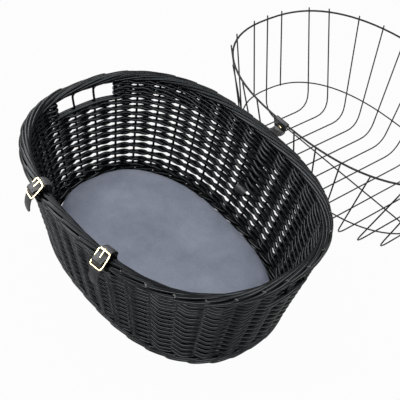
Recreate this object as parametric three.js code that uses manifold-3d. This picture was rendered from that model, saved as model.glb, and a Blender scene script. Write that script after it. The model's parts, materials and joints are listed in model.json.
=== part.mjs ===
// Oval willow bicycle basket with a hinged wire dome lid, buckled leather straps and a floor pad.
// Millimetres, +Z up. The origin is the middle of the base board's underside.
// X runs along the basket, -Y is the buckle side and +Y the hinge side. The lid lies open behind it.
import * as THREE from 'three';
import { mergeVertices } from 'three/addons/utils/BufferGeometryUtils.js';
import Module from 'manifold-3d';

const wasm = await Module();
wasm.setup();

// Basket shell
const RIM_LENGTH = 600;
const RIM_WIDTH = 456;
const BASE_LENGTH = 514;
const BASE_WIDTH = 352;
const BASKET_HEIGHT = 226;
const OVAL_POWER = 2.45;
const WALE_HEIGHT = 20;
const WALE_THICKNESS = 18;
const WALL_INSET = 2;
const WALL_THICKNESS = 15;
const BORDER_WIDTH = 24;
const BORDER_HEIGHT = 23;
const BOARD_THICKNESS = 9;
const BOARD_CHAMFER = 1.5;
const SEAT_GAP = 0.3;

// Floor pad
const PAD_THICKNESS = 20;
const PAD_CROWN = 3;
const PAD_EDGE_ROUND = 5;
const PAD_SHOULDER = 40;
const PAD_LEVEL = 100;
const PAD_CLEARANCE = 0.8;

// Handle windows under the border, one at each end
const STAKE_DIAMETER = 7;
const WINDOW_GAP = 39;
const LEFT_WINDOW = { end: -1, centreY: 4, gapCount: 3, sill: 177, name: 'left' };
const RIGHT_WINDOW = { end: 1, centreY: 26, gapCount: 2, sill: 165, name: 'right' };

// Weave: rows of paired rods round upright stakes, close together beside the windows and wider apart below
const STAKE_PITCH = 45.5;
const ROD_DIAMETER = 6.8;
const STAKE_WEB = 4;
const UPPER_ROW_PITCH = 9.8;
const ROW_PITCH = 12;
const ROW_PITCH_GROWTH = 0.42;

// Leather and buckles
const LEATHER_THICKNESS = 2;
const FRONT_STRAP_WIDTH = 20;
const FRONT_STRAP_X = { left: -82, right: 101 };
const STRAP_TAIL_LENGTH = 44;
const STRAP_WRAP = { from: 30, to: -210, step: 20 };
const LEATHER_GAP = 0.4;
const STRAP_SLACK = 1.2;
const BUCKLE_LENGTH = 33;
const BUCKLE_BAR = 3;
const BUCKLE_CORNER = 4;
const BUCKLE_BEVEL = 0.6;
const BUCKLE_TILT = THREE.MathUtils.degToRad(45);
const PRONG_WIDTH = 3.2;
const PRONG_THICKNESS = 2.4;
const PRONG_EYE = 1.4;
const HINGE_STRAP_WIDTH = 26;
const HINGE_STRAP_DROP = 21;
const ANCHOR_HEIGHT = 91;
const ANCHOR_TAB = 8;
const RIVET_HEAD_RADIUS = 4;
const RIVET_HEAD_HEIGHT = 1.2;
const RIVET_EDGE_ROUND = 0.8;
const RIVET_SHANK_RADIUS = 2;

// Wire lid
const LID_OFFSET_X = 10;
const LID_STANDOFF = 28;
const LID_INSET = 2;
const LID_DEPTH = 224.5;
const LID_SEAT_HEIGHT = 6;
const RING_RADIUS = 2;
const WIRE_RADIUS = 1.5;
const WELD_GAP = 0.4;
const UPPER_RING_HEIGHT = 164;
const UPPER_INSET_X = 37;
const UPPER_INSET_Y = 45;
const WIRE_PAIRS = 6;
const END_LEG_INSET = 17;
const END_LEG_STEP = 26;
const END_WIRE_LEAN = 65.5;
const DOME_FILLET = 40;
const WIRE_NUB = 5;
const END_WIRE_Y = 40;

// Facets
const OVAL_SEGMENTS = 80;
const RUN_STEPS = 4000;
const RING_SIDES = 8;
const WIRE_SIDES = 8;
const BORDER_SIDES = 12;
const FILLET_STEPS = 5;
const CORNER_STEPS = 3;
const CURVE_SEGMENTS = 12;
const BAND_STEPS = 60;
const MERGE_DISTANCE = 1e-4;
const NEARLY_PARALLEL = 0.9;

// Finishes
const WILLOW = { color: 0x1c1e22, roughness: 0.42, metalness: 0 };
const BOARD = { color: 0x2a2725, roughness: 0.7, metalness: 0 };
const PAD_CLOTH = { color: 0x767c8c, roughness: 0.95, metalness: 0 };
const LEATHER = { color: 0x141416, roughness: 0.5, metalness: 0 };
const BRASS = { color: 0xd8c890, roughness: 0.28, metalness: 1 };
const BLACK_WIRE = { color: 0x26272a, roughness: 0.45, metalness: 0.6 };

const basket = new THREE.Group();

function addMesh(parent, name, geometry, finish) {
  const mesh = new THREE.Mesh(geometry, new THREE.MeshStandardMaterial(finish));
  mesh.name = name;
  parent.add(mesh);
  return mesh;
}

// Closed meshes to manifold solids and back, for cuts and joins
function toSolid(geometry) {
  const bare = geometry.clone();
  bare.deleteAttribute('normal');
  bare.deleteAttribute('uv');
  const merged = mergeVertices(bare, MERGE_DISTANCE);
  const vertProperties = new Float32Array(merged.attributes.position.array);
  const triVerts = new Uint32Array(merged.index.array);
  return new wasm.Manifold(new wasm.Mesh({ numProp: 3, vertProperties, triVerts }));
}

function toGeometry(solid) {
  const mesh = solid.getMesh();
  const geometry = new THREE.BufferGeometry();
  geometry.setAttribute('position', new THREE.BufferAttribute(mesh.vertProperties, 3));
  geometry.setIndex(new THREE.BufferAttribute(mesh.triVerts, 1));
  geometry.computeVertexNormals();
  return geometry;
}

function boxGeometry(low, high) {
  const size = high.clone().sub(low);
  const middle = low.clone().add(high).multiplyScalar(0.5);
  return new THREE.BoxGeometry(size.x, size.y, size.z).translate(middle.x, middle.y, middle.z);
}

function indexedGeometry(positions, triangles) {
  const geometry = new THREE.BufferGeometry();
  geometry.setAttribute('position', new THREE.Float32BufferAttribute(positions, 3));
  geometry.setIndex(triangles);
  geometry.computeVertexNormals();
  return geometry;
}

// The basket's plan is a superellipse. These give its points and its outward normal.
function ovalPoint(semiX, semiY, angle) {
  const c = Math.cos(angle);
  const s = Math.sin(angle);
  const x = semiX * Math.sign(c) * Math.abs(c) ** (2 / OVAL_POWER);
  const y = semiY * Math.sign(s) * Math.abs(s) ** (2 / OVAL_POWER);
  return new THREE.Vector2(x, y);
}

function ovalReach(semiAlong, semiAcross, along) {
  return semiAcross * (1 - Math.abs(along / semiAlong) ** OVAL_POWER) ** (1 / OVAL_POWER);
}

function ovalNormal(semiX, semiY, x, y) {
  const nx = Math.sign(x) * Math.abs(x / semiX) ** (OVAL_POWER - 1) / semiX;
  const ny = Math.sign(y) * Math.abs(y / semiY) ** (OVAL_POWER - 1) / semiY;
  return new THREE.Vector2(nx, ny).normalize();
}

// The outside of the basket at a height, before any inset
function shellSemi(z) {
  const t = z / BASKET_HEIGHT;
  const x = THREE.MathUtils.lerp(BASE_LENGTH, RIM_LENGTH, t) / 2;
  const y = THREE.MathUtils.lerp(BASE_WIDTH, RIM_WIDTH, t) / 2;
  return { x, y };
}

function shellStation(z, inset) {
  const semi = shellSemi(z);
  return [semi.x - inset, semi.y - inset, z];
}

// Rings of oval points joined into a band. Stations are [semiX, semiY, z].
function ovalStrip(stations, closed) {
  const positions = [];
  for (const [semiX, semiY, z] of stations) {
    for (let j = 0; j < OVAL_SEGMENTS; j += 1) {
      const p = ovalPoint(semiX, semiY, (2 * Math.PI * j) / OVAL_SEGMENTS);
      positions.push(p.x, p.y, z);
    }
  }
  const triangles = [];
  const bands = closed ? stations.length : stations.length - 1;
  for (let i = 0; i < bands; i += 1) {
    const below = i * OVAL_SEGMENTS;
    const above = ((i + 1) % stations.length) * OVAL_SEGMENTS;
    for (let j = 0; j < OVAL_SEGMENTS; j += 1) {
      const k = (j + 1) % OVAL_SEGMENTS;
      triangles.push(below + j, below + k, above + k, below + j, above + k, above + j);
    }
  }
  return { positions, triangles };
}

// A ring whose section runs counter-clockwise from its lower outside
function ovalRing(stations) {
  const { positions, triangles } = ovalStrip(stations, true);
  return indexedGeometry(positions, triangles);
}

// A plate or cushion from its lowest ring to its highest, closed by a fan at each end
function ovalPlate(stations) {
  const { positions, triangles } = ovalStrip(stations, false);
  const last = (stations.length - 1) * OVAL_SEGMENTS;
  const bottom = positions.length / 3;
  positions.push(0, 0, stations[0][2], 0, 0, stations[stations.length - 1][2]);
  for (let j = 0; j < OVAL_SEGMENTS; j += 1) {
    const k = (j + 1) % OVAL_SEGMENTS;
    triangles.push(bottom, k, j, bottom + 1, last + j, last + k);
  }
  return indexedGeometry(positions, triangles);
}

function roundSection(semiX, semiY, z, halfWidth, halfHeight, sides) {
  const stations = [];
  for (let i = 0; i < sides; i += 1) {
    const a = (2 * Math.PI * (i + 0.5)) / sides;
    const out = halfWidth * Math.cos(a);
    stations.push([semiX + out, semiY + out, z + halfHeight * Math.sin(a)]);
  }
  return stations;
}

// A round wire along a line of points, with flat ends
function wire(points, radius, sides) {
  const positions = [];
  const triangles = [];
  const side = new THREE.Vector3();
  points.forEach((point, i) => {
    const before = points[Math.max(i - 1, 0)];
    const after = points[Math.min(i + 1, points.length - 1)];
    const along = after.clone().sub(before).normalize();
    if (i === 0) {
      const alongX = Math.abs(along.x) > NEARLY_PARALLEL;
      side.crossVectors(along, new THREE.Vector3(alongX ? 0 : 1, alongX ? 1 : 0, 0)).normalize();
    } else {
      side.addScaledVector(along, -side.dot(along)).normalize();
    }
    const other = new THREE.Vector3().crossVectors(along, side);
    for (let j = 0; j < sides; j += 1) {
      const a = (2 * Math.PI * j) / sides;
      const p = point.clone().addScaledVector(side, radius * Math.cos(a));
      p.addScaledVector(other, radius * Math.sin(a));
      positions.push(p.x, p.y, p.z);
    }
  });
  const last = (points.length - 1) * sides;
  for (let j = 0; j < sides; j += 1) {
    const k = (j + 1) % sides;
    for (let ring = 0; ring < last; ring += sides) {
      triangles.push(ring + j, ring + k, ring + sides + k, ring + j, ring + sides + k, ring + sides + j);
    }
    if (j > 0 && k > 0) {
      triangles.push(0, k, j, last, last + j, last + k);
    }
  }
  return indexedGeometry(positions, triangles);
}

// Straight runs joined by round bends
function bentPath(corners, bendRadius) {
  const points = [corners[0]];
  for (let i = 1; i < corners.length - 1; i += 1) {
    const back = corners[i - 1].clone().sub(corners[i]).normalize();
    const on = corners[i + 1].clone().sub(corners[i]).normalize();
    const reach = bendRadius / Math.tan(back.angleTo(on) / 2);
    const start = corners[i].clone().addScaledVector(back, reach);
    const end = corners[i].clone().addScaledVector(on, reach);
    const bend = new THREE.QuadraticBezierCurve3(start, corners[i], end);
    points.push(...bend.getPoints(FILLET_STEPS));
  }
  points.push(corners[corners.length - 1]);
  return points;
}

// A strip of leather seen edge on: a line of 2D points thickened to both sides, then given its width
function strip(points, thickness, width) {
  const left = [];
  const right = [];
  points.forEach((point, i) => {
    const before = points[Math.max(i - 1, 0)];
    const after = points[Math.min(i + 1, points.length - 1)];
    const into = i > 0 ? point.clone().sub(before).normalize() : after.clone().sub(point).normalize();
    const out = i < points.length - 1 ? after.clone().sub(point).normalize() : into;
    const across = new THREE.Vector2(-into.y - out.y, into.x + out.x).normalize();
    const mitre = thickness / 2 / across.dot(new THREE.Vector2(-into.y, into.x));
    left.push(point.clone().addScaledVector(across, mitre));
    right.push(point.clone().addScaledVector(across, -mitre));
  });
  const shape = new THREE.Shape([...left, ...right.reverse()]);
  return prism(shape, width, 0);
}

function prism(shape, width, bevel) {
  const geometry = new THREE.ExtrudeGeometry(shape, {
    depth: width - 2 * bevel,
    bevelEnabled: bevel > 0,
    bevelThickness: bevel,
    bevelSize: bevel,
    bevelOffset: -bevel,
    bevelSegments: 1,
    curveSegments: CURVE_SEGMENTS,
  });
  return geometry.translate(0, 0, bevel - width / 2);
}

// A group whose local X points out of the basket, Y points up and Z runs along the border
function borderStation(x, side) {
  const y = side * ovalReach(BORDER_SEMI_X, BORDER_SEMI_Y, x);
  const normal = ovalNormal(BORDER_SEMI_X, BORDER_SEMI_Y, x, y);
  const out = new THREE.Vector3(normal.x, normal.y, 0);
  const up = new THREE.Vector3(0, 0, 1);
  const along = new THREE.Vector3().crossVectors(out, up);
  const group = new THREE.Group();
  group.position.set(x, y, BORDER_Z);
  group.quaternion.setFromRotationMatrix(new THREE.Matrix4().makeBasis(out, up, along));
  group.updateMatrixWorld();
  return group;
}

const BORDER_Z = BASKET_HEIGHT - BORDER_HEIGHT / 2;
const BORDER_BOTTOM = BASKET_HEIGHT - BORDER_HEIGHT;
const BORDER_SEMI_X = (RIM_LENGTH - BORDER_WIDTH) / 2;
const BORDER_SEMI_Y = (RIM_WIDTH - BORDER_WIDTH) / 2;
const BORDER_OUTER_WIDTH = BORDER_WIDTH / 2 / Math.cos(Math.PI / BORDER_SIDES);
const BORDER_OUTER_HEIGHT = BORDER_HEIGHT / 2 / Math.cos(Math.PI / BORDER_SIDES);
const WALL_BOTTOM = WALE_HEIGHT + SEAT_GAP;
const WALL_TOP = BORDER_BOTTOM - SEAT_GAP;
const WALL_INNER_INSET = WALL_INSET + WALL_THICKNESS;

// Base board, with its edge taken off
const boardSemi = [BASE_LENGTH / 2 - WALE_THICKNESS - SEAT_GAP, BASE_WIDTH / 2 - WALE_THICKNESS - SEAT_GAP];
const boardRing = (inset, z) => [boardSemi[0] - inset, boardSemi[1] - inset, z];
addMesh(basket, 'base_board', ovalPlate([
  boardRing(BOARD_CHAMFER, 0),
  boardRing(0, BOARD_CHAMFER),
  boardRing(0, BOARD_THICKNESS - BOARD_CHAMFER),
  boardRing(BOARD_CHAMFER, BOARD_THICKNESS),
]), BOARD);

// Wale: the thick band of rods round the foot of the wall
addMesh(basket, 'base_wale', ovalRing([
  shellStation(0, WALL_INSET),
  shellStation(WALE_HEIGHT / 3, 0),
  shellStation((2 * WALE_HEIGHT) / 3, 0),
  shellStation(WALE_HEIGHT, WALL_INSET),
  shellStation(WALE_HEIGHT, WALE_THICKNESS),
  shellStation(0, WALE_THICKNESS),
]), WILLOW);

// Rolled border on top of the wall
addMesh(basket, 'rim_border', ovalRing(roundSection(
  BORDER_SEMI_X,
  BORDER_SEMI_Y,
  BORDER_Z,
  BORDER_OUTER_WIDTH,
  BORDER_OUTER_HEIGHT,
  BORDER_SIDES,
)), WILLOW);

// Cuts through the wall: handle windows, slots for the front straps and the slot for the hinge strap
function windowWidth(spec) {
  return spec.gapCount * WINDOW_GAP + (spec.gapCount - 1) * STAKE_DIAMETER;
}

function windowCut(spec) {
  const half = windowWidth(spec) / 2;
  const near = spec.end * (shellSemi(0).x - WALE_THICKNESS) / 2;
  const far = spec.end * RIM_LENGTH;
  const low = new THREE.Vector3(Math.min(near, far), spec.centreY - half, spec.sill);
  const high = new THREE.Vector3(Math.max(near, far), spec.centreY + half, BASKET_HEIGHT);
  return boxGeometry(low, high);
}

const STRAP_RADIUS = BORDER_OUTER_WIDTH + LEATHER_GAP + LEATHER_THICKNESS / 2;
const strapSlotDepth = STRAP_RADIUS + LEATHER_THICKNESS / 2 + LEATHER_GAP;
const frontStations = {
  left: borderStation(FRONT_STRAP_X.left, -1),
  right: borderStation(FRONT_STRAP_X.right, -1),
};

function strapSlot(station) {
  const half = FRONT_STRAP_WIDTH / 2 + LEATHER_GAP;
  const low = new THREE.Vector3(-BORDER_WIDTH * 2, -strapSlotDepth, -half);
  const high = new THREE.Vector3(BORDER_WIDTH * 2, 0, half);
  return boxGeometry(low, high).applyMatrix4(station.matrixWorld);
}

const anchorSlot = boxGeometry(
  new THREE.Vector3(-HINGE_STRAP_WIDTH / 2 - LEATHER_GAP, 0, ANCHOR_HEIGHT - LEATHER_THICKNESS),
  new THREE.Vector3(HINGE_STRAP_WIDTH / 2 + LEATHER_GAP, RIM_WIDTH, ANCHOR_HEIGHT + LEATHER_THICKNESS),
);

// Length along the border's middle line up to each of many even steps of angle
const borderRun = [0];
for (let i = 1; i <= RUN_STEPS; i += 1) {
  const from = ovalPoint(BORDER_SEMI_X, BORDER_SEMI_Y, (2 * Math.PI * (i - 1)) / RUN_STEPS);
  const to = ovalPoint(BORDER_SEMI_X, BORDER_SEMI_Y, (2 * Math.PI * i) / RUN_STEPS);
  borderRun.push(borderRun[i - 1] + from.distanceTo(to));
}
const BORDER_ROUND = borderRun[RUN_STEPS];

function runAtAngle(angle) {
  const step = (Math.abs(angle) / (2 * Math.PI)) * RUN_STEPS;
  const i = Math.floor(step);
  return Math.sign(angle) * THREE.MathUtils.lerp(borderRun[i], borderRun[i + 1], step - i);
}

function angleAtRun(run) {
  const along = THREE.MathUtils.euclideanModulo(run, BORDER_ROUND);
  const i = borderRun.findIndex((length) => length > along);
  const part = (along - borderRun[i - 1]) / (borderRun[i] - borderRun[i - 1]);
  return (2 * Math.PI * (i - 1 + part)) / RUN_STEPS;
}

// A window's stakes, edges included, in the order in which the wall meets them counter-clockwise
function windowRuns(spec) {
  const semiY = shellSemi((spec.sill + BORDER_BOTTOM) / 2).y - WALL_INSET - WALL_THICKNESS / 2;
  const step = spec.end * (WINDOW_GAP + STAKE_DIAMETER);
  const runs = [];
  for (let i = 0; i <= spec.gapCount; i += 1) {
    const y = spec.centreY + (i - spec.gapCount / 2) * step;
    const slope = Math.sign(y) * Math.asin((Math.abs(y) / semiY) ** (OVAL_POWER / 2));
    runs.push(runAtAngle(spec.end > 0 ? slope : Math.PI - slope));
  }
  return runs;
}

// Stakes at even steps between two runs, without the first and the last
function runsBetween(from, to) {
  const count = Math.round((to - from) / STAKE_PITCH);
  return Array.from({ length: count - 1 }, (_, i) => THREE.MathUtils.lerp(from, to, (i + 1) / count));
}

function stakeRuns() {
  const right = windowRuns(RIGHT_WINDOW);
  const left = windowRuns(LEFT_WINDOW);
  const back = runsBetween(right.at(-1), left[0]);
  const front = runsBetween(left.at(-1), right[0] + BORDER_ROUND);
  return [...right, ...back, ...left, ...front];
}

function rowHeights() {
  const rows = [LEFT_WINDOW.sill - ROD_DIAMETER / 2];
  for (let z = rows[0] + UPPER_ROW_PITCH; z < WALL_TOP - ROD_DIAMETER; z += UPPER_ROW_PITCH) {
    rows.push(z);
  }
  const lowest = WALL_BOTTOM + ROD_DIAMETER / 2;
  for (let pitch = ROW_PITCH; rows[0] - pitch > lowest + ROD_DIAMETER; pitch += ROW_PITCH_GROWTH) {
    rows.unshift(rows[0] - pitch);
  }
  return [lowest, ...rows];
}

// Half thicknesses of the wall up a column. A stake's column swells at each row and sinks to the stake
// between rows. Midway between stakes, where the rods cross, the wall stays as thick as one rod.
function stakeProfile(rows) {
  const profile = [[WALL_BOTTOM, ROD_DIAMETER / 2]];
  rows.forEach((z, i) => {
    if (i > 0) profile.push([(rows[i - 1] + z) / 2, STAKE_WEB / 2]);
    profile.push([z, WALL_THICKNESS / 2]);
  });
  return [...profile, [WALL_TOP, ROD_DIAMETER / 2]];
}

function crossingProfile(rows) {
  return [WALL_BOTTOM, ...rows, WALL_TOP].map((z) => [z, ROD_DIAMETER / 2]);
}

// Triangles between a stake's column and the crossing beside it, given as lists of point numbers
function stitchColumns(stake, crossing) {
  const triangles = [];
  const rows = crossing.length - 2;
  triangles.push([stake[0], crossing[0], crossing[1]], [stake[0], crossing[1], stake[1]]);
  for (let i = 1; i < rows; i += 1) {
    const [row, dip, next] = stake.slice(2 * i - 1, 2 * i + 2);
    triangles.push([row, crossing[i], dip], [crossing[i], crossing[i + 1], dip], [dip, crossing[i + 1], next]);
  }
  const last = stake.length - 1;
  triangles.push([stake[last - 1], crossing[rows], crossing[rows + 1]]);
  triangles.push([stake[last - 1], crossing[rows + 1], stake[last]]);
  return triangles;
}

function wovenWall() {
  const rows = rowHeights();
  const stakes = stakeRuns();
  const positions = [];
  const columns = [];
  function addColumn(run, profile) {
    const angle = angleAtRun(run);
    const faces = [1, -1].map((side) => profile.map(([z, half]) => {
      const [semiX, semiY] = shellStation(z, WALL_INSET + WALL_THICKNESS / 2 - side * half);
      const p = ovalPoint(semiX, semiY, angle);
      positions.push(p.x, p.y, z);
      return positions.length / 3 - 1;
    }));
    columns.push({ outside: faces[0], inside: faces[1] });
  }
  stakes.forEach((run, i) => {
    const next = i + 1 < stakes.length ? stakes[i + 1] : stakes[0] + BORDER_ROUND;
    addColumn(run, stakeProfile(rows));
    addColumn((run + next) / 2, crossingProfile(rows));
  });
  const triangles = [];
  const push = (list, flip) => list.forEach(([a, b, c]) => triangles.push(a, flip ? c : b, flip ? b : c));
  columns.forEach((here, i) => {
    const there = columns[(i + 1) % columns.length];
    const stakeFirst = i % 2 === 0;
    const [stake, crossing] = stakeFirst ? [here, there] : [there, here];
    push(stitchColumns(stake.outside, crossing.outside), !stakeFirst);
    push(stitchColumns(stake.inside, crossing.inside), stakeFirst);
    const [a, b, c, d] = [here.outside, there.outside, there.inside, here.inside];
    push([[a[0], d[0], c[0]], [a[0], c[0], b[0]]], false);
    push([[a.at(-1), b.at(-1), c.at(-1)], [a.at(-1), c.at(-1), d.at(-1)]], false);
  });
  return indexedGeometry(positions, triangles);
}

const wallCuts = [
  windowCut(LEFT_WINDOW),
  windowCut(RIGHT_WINDOW),
  strapSlot(frontStations.left),
  strapSlot(frontStations.right),
  anchorSlot,
];
const wallSolid = wallCuts.reduce((solid, cut) => solid.subtract(toSolid(cut)), toSolid(wovenWall()));
addMesh(basket, 'wall_weave', toGeometry(wallSolid), WILLOW);

// Stakes that cross the handle windows from the sill to the border
function stakePoint(spec, y, z) {
  const semi = shellSemi(z);
  const inset = WALL_INSET + WALL_THICKNESS / 2;
  const x = spec.end * ovalReach(semi.y - inset, semi.x - inset, y);
  return new THREE.Vector3(x, y, z);
}

function addWindowStakes(spec) {
  const start = spec.centreY - windowWidth(spec) / 2 + WINDOW_GAP + STAKE_DIAMETER / 2;
  const lean = (RIM_LENGTH - BASE_LENGTH) / 2 / BASKET_HEIGHT;
  const seat = SEAT_GAP + Math.abs(lean) * STAKE_DIAMETER / 2;
  for (let i = 0; i < spec.gapCount - 1; i += 1) {
    const y = start + i * (WINDOW_GAP + STAKE_DIAMETER);
    const foot = stakePoint(spec, y, spec.sill + seat);
    const head = stakePoint(spec, y, BORDER_BOTTOM - seat);
    const stake = wire([foot, head], STAKE_DIAMETER / 2, WIRE_SIDES);
    addMesh(basket, `${spec.name}_window_stake_${i + 1}`, stake, WILLOW);
  }
}
addWindowStakes(LEFT_WINDOW);
addWindowStakes(RIGHT_WINDOW);

// Floor pad: a crowned cushion with rounded lower and upper edges
const padBottom = BOARD_THICKNESS + SEAT_GAP;
const padTop = padBottom + PAD_THICKNESS;
const padInset = WALE_THICKNESS + PAD_CLEARANCE;
addMesh(basket, 'floor_pad', ovalPlate([
  shellStation(padBottom, padInset + PAD_EDGE_ROUND),
  shellStation(padBottom + PAD_EDGE_ROUND / 2, padInset + PAD_EDGE_ROUND / 4),
  shellStation(padBottom + PAD_THICKNESS / 2, padInset),
  shellStation(padTop - PAD_CROWN - PAD_EDGE_ROUND / 2, padInset + PAD_EDGE_ROUND / 4),
  shellStation(padTop - PAD_CROWN, padInset + PAD_EDGE_ROUND),
  shellStation(padTop - PAD_CROWN / 4, padInset + PAD_SHOULDER),
  shellStation(padTop, padInset + PAD_LEVEL),
]), PAD_CLOTH);

// Front straps: each goes round the border, through its buckle and hangs down in a tail.
// In a station's frame, the buckle lies along a slanting line; slant() gives points along and off it.
const PRONG_BORE = BUCKLE_BAR / Math.SQRT2 + LEATHER_GAP / 2;
const BUCKLE_LIFT = STRAP_RADIUS + LEATHER_THICKNESS / 2 + LEATHER_GAP + PRONG_EYE + PRONG_BORE;
const BAR_REACH = (BUCKLE_LENGTH - BUCKLE_BAR) / 2;
const UNDER_BAR = BUCKLE_LIFT - BUCKLE_BAR / 2 - STRAP_SLACK - LEATHER_THICKNESS / 2;
const OVER_BAR = BUCKLE_LIFT + BUCKLE_BAR / 2 + LEATHER_GAP + LEATHER_THICKNESS / 2;

function slant(along, lift) {
  const c = Math.cos(BUCKLE_TILT);
  const s = Math.sin(BUCKLE_TILT);
  return new THREE.Vector2(lift * c + along * s, lift * s - along * c);
}

function strapLine() {
  const points = [];
  const turn = (degrees) => {
    const a = THREE.MathUtils.degToRad(degrees);
    return new THREE.Vector2(STRAP_RADIUS * Math.cos(a), STRAP_RADIUS * Math.sin(a));
  };
  for (let degrees = STRAP_WRAP.from; degrees >= STRAP_WRAP.to; degrees -= STRAP_WRAP.step) {
    points.push(turn(degrees));
  }
  const low = slant(BAR_REACH + BUCKLE_BAR, UNDER_BAR);
  points.push(slant(-BAR_REACH - BUCKLE_BAR, UNDER_BAR), slant(BUCKLE_BAR - BAR_REACH, UNDER_BAR));
  points.push(slant(-BUCKLE_BAR, OVER_BAR), slant(BUCKLE_BAR, OVER_BAR));
  points.push(slant(BAR_REACH - BUCKLE_BAR, UNDER_BAR), low);
  points.push(new THREE.Vector2(low.x + LEATHER_THICKNESS, low.y - STRAP_TAIL_LENGTH / 4));
  points.push(new THREE.Vector2(low.x + LEATHER_THICKNESS, low.y - STRAP_TAIL_LENGTH));
  return new THREE.SplineCurve(points).getPoints(BAND_STEPS);
}

function slantMatrix() {
  const axis = slant(1, 0);
  const lift = slant(0, 1);
  const x = new THREE.Vector3(axis.x, axis.y, 0);
  const y = new THREE.Vector3(lift.x, lift.y, 0);
  return new THREE.Matrix4().makeBasis(x, y, new THREE.Vector3().crossVectors(x, y));
}

function strapGeometry() {
  const band = toSolid(strip(strapLine(), LEATHER_THICKNESS, FRONT_STRAP_WIDTH));
  const half = PRONG_WIDTH / 2 + LEATHER_GAP;
  const low = new THREE.Vector3(-BAR_REACH - BUCKLE_BAR / 2, UNDER_BAR - LEATHER_THICKNESS, -half);
  const high = new THREE.Vector3(BAR_REACH / 3, OVER_BAR + LEATHER_THICKNESS, half);
  const slot = boxGeometry(low, high).applyMatrix4(slantMatrix());
  return toGeometry(band.subtract(toSolid(slot)));
}

// Buckle: a flat frame with a middle bar
function roundedRectangle(width, height, radius) {
  const points = [];
  for (let quarter = 0; quarter < 4; quarter += 1) {
    const middle = ((2 * quarter + 1) * Math.PI) / 4;
    const x = Math.sign(Math.cos(middle)) * (width / 2 - radius);
    const y = Math.sign(Math.sin(middle)) * (height / 2 - radius);
    for (let i = 0; i <= CORNER_STEPS; i += 1) {
      const a = ((quarter + i / CORNER_STEPS) * Math.PI) / 2;
      points.push(new THREE.Vector2(x + radius * Math.cos(a), y + radius * Math.sin(a)));
    }
  }
  return new THREE.Shape(points);
}

function buckleGeometry() {
  const inner = FRONT_STRAP_WIDTH / 2 + LEATHER_GAP;
  const end = BUCKLE_LENGTH / 2 - BUCKLE_BAR;
  const outline = roundedRectangle(BUCKLE_LENGTH, 2 * (inner + BUCKLE_BAR), BUCKLE_CORNER);
  const plate = prism(outline, BUCKLE_BAR, BUCKLE_BEVEL);
  const windows = [[-end, -BUCKLE_BAR / 2], [BUCKLE_BAR / 2, end]].map(([low, high]) => boxGeometry(
    new THREE.Vector3(low, -inner, -BUCKLE_BAR),
    new THREE.Vector3(high, inner, BUCKLE_BAR),
  ));
  const solid = windows.reduce((rest, cut) => rest.subtract(toSolid(cut)), toSolid(plate));
  return toGeometry(solid).rotateX(-Math.PI / 2).translate(0, BUCKLE_LIFT, 0).applyMatrix4(slantMatrix());
}

// Prong: an eye that turns on the middle bar and a pin that rests on the upper bar
function prongGeometry() {
  const eye = new THREE.Shape().absarc(0, BUCKLE_LIFT, PRONG_BORE + PRONG_EYE, 0, 2 * Math.PI, false);
  eye.holes.push(new THREE.Path().absarc(0, BUCKLE_LIFT, PRONG_BORE, 0, 2 * Math.PI, true));
  const rest = BUCKLE_LIFT + BUCKLE_BAR / 2 + SEAT_GAP;
  const tip = -BAR_REACH - BUCKLE_BAR;
  const pin = new THREE.Shape([
    new THREE.Vector2(tip, rest),
    new THREE.Vector2(-PRONG_BORE, rest),
    new THREE.Vector2(-PRONG_BORE / 2, rest + PRONG_THICKNESS),
    new THREE.Vector2(tip + PRONG_THICKNESS / 2, rest + PRONG_THICKNESS),
  ]);
  const solid = toSolid(prism(eye, PRONG_WIDTH, 0)).add(toSolid(prism(pin, PRONG_WIDTH, 0)));
  return toGeometry(solid).applyMatrix4(slantMatrix());
}

for (const [side, station] of Object.entries(frontStations)) {
  addMesh(station, `${side}_strap`, strapGeometry(), LEATHER);
  addMesh(station, `${side}_buckle_frame`, buckleGeometry(), BRASS);
  addMesh(station, `${side}_buckle_prong`, prongGeometry(), BRASS);
  basket.add(station);
}

// Lid placing. Open, its rim ring stands behind the border. Closed, the ring lies along the border.
const lidSemi = { x: BORDER_SEMI_X - LID_INSET, y: BORDER_SEMI_Y - LID_INSET };
const RING_OPEN = new THREE.Vector2(RIM_WIDTH / 2 + LID_STANDOFF, LID_DEPTH + WIRE_RADIUS);
const RING_CLOSED = new THREE.Vector2(lidSemi.y, BASKET_HEIGHT + LID_SEAT_HEIGHT);

// The leather folds about a line on the outside of the border: a quarter turn there takes the ring
// from its open place to its closed place.
function foldAxis() {
  const middle = RING_OPEN.clone().add(RING_CLOSED).multiplyScalar(0.5);
  const step = RING_CLOSED.clone().sub(RING_OPEN);
  return new THREE.Vector2(middle.x - step.y / 2, middle.y + step.x / 2);
}
const FOLD = foldAxis();

// Hinge strap, lower part: a tab inside the wall, through its slot and up the outside of the wall
function backWall(z, offset) {
  const inset = offset < 0 ? WALL_INNER_INSET : WALL_INSET;
  return new THREE.Vector2(shellSemi(z).y - inset + offset, z);
}

function lowerStrapLine() {
  const stand = LEATHER_GAP + LEATHER_THICKNESS / 2;
  const end = FOLD.y - LEATHER_THICKNESS / 2 - LEATHER_GAP;
  return [
    backWall(ANCHOR_HEIGHT - ANCHOR_TAB, -stand),
    backWall(ANCHOR_HEIGHT, -stand),
    backWall(ANCHOR_HEIGHT, stand),
    backWall(BORDER_BOTTOM - BORDER_HEIGHT, stand),
    new THREE.Vector2(FOLD.x, end - BORDER_HEIGHT / 4),
    new THREE.Vector2(FOLD.x, end),
  ];
}

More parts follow.
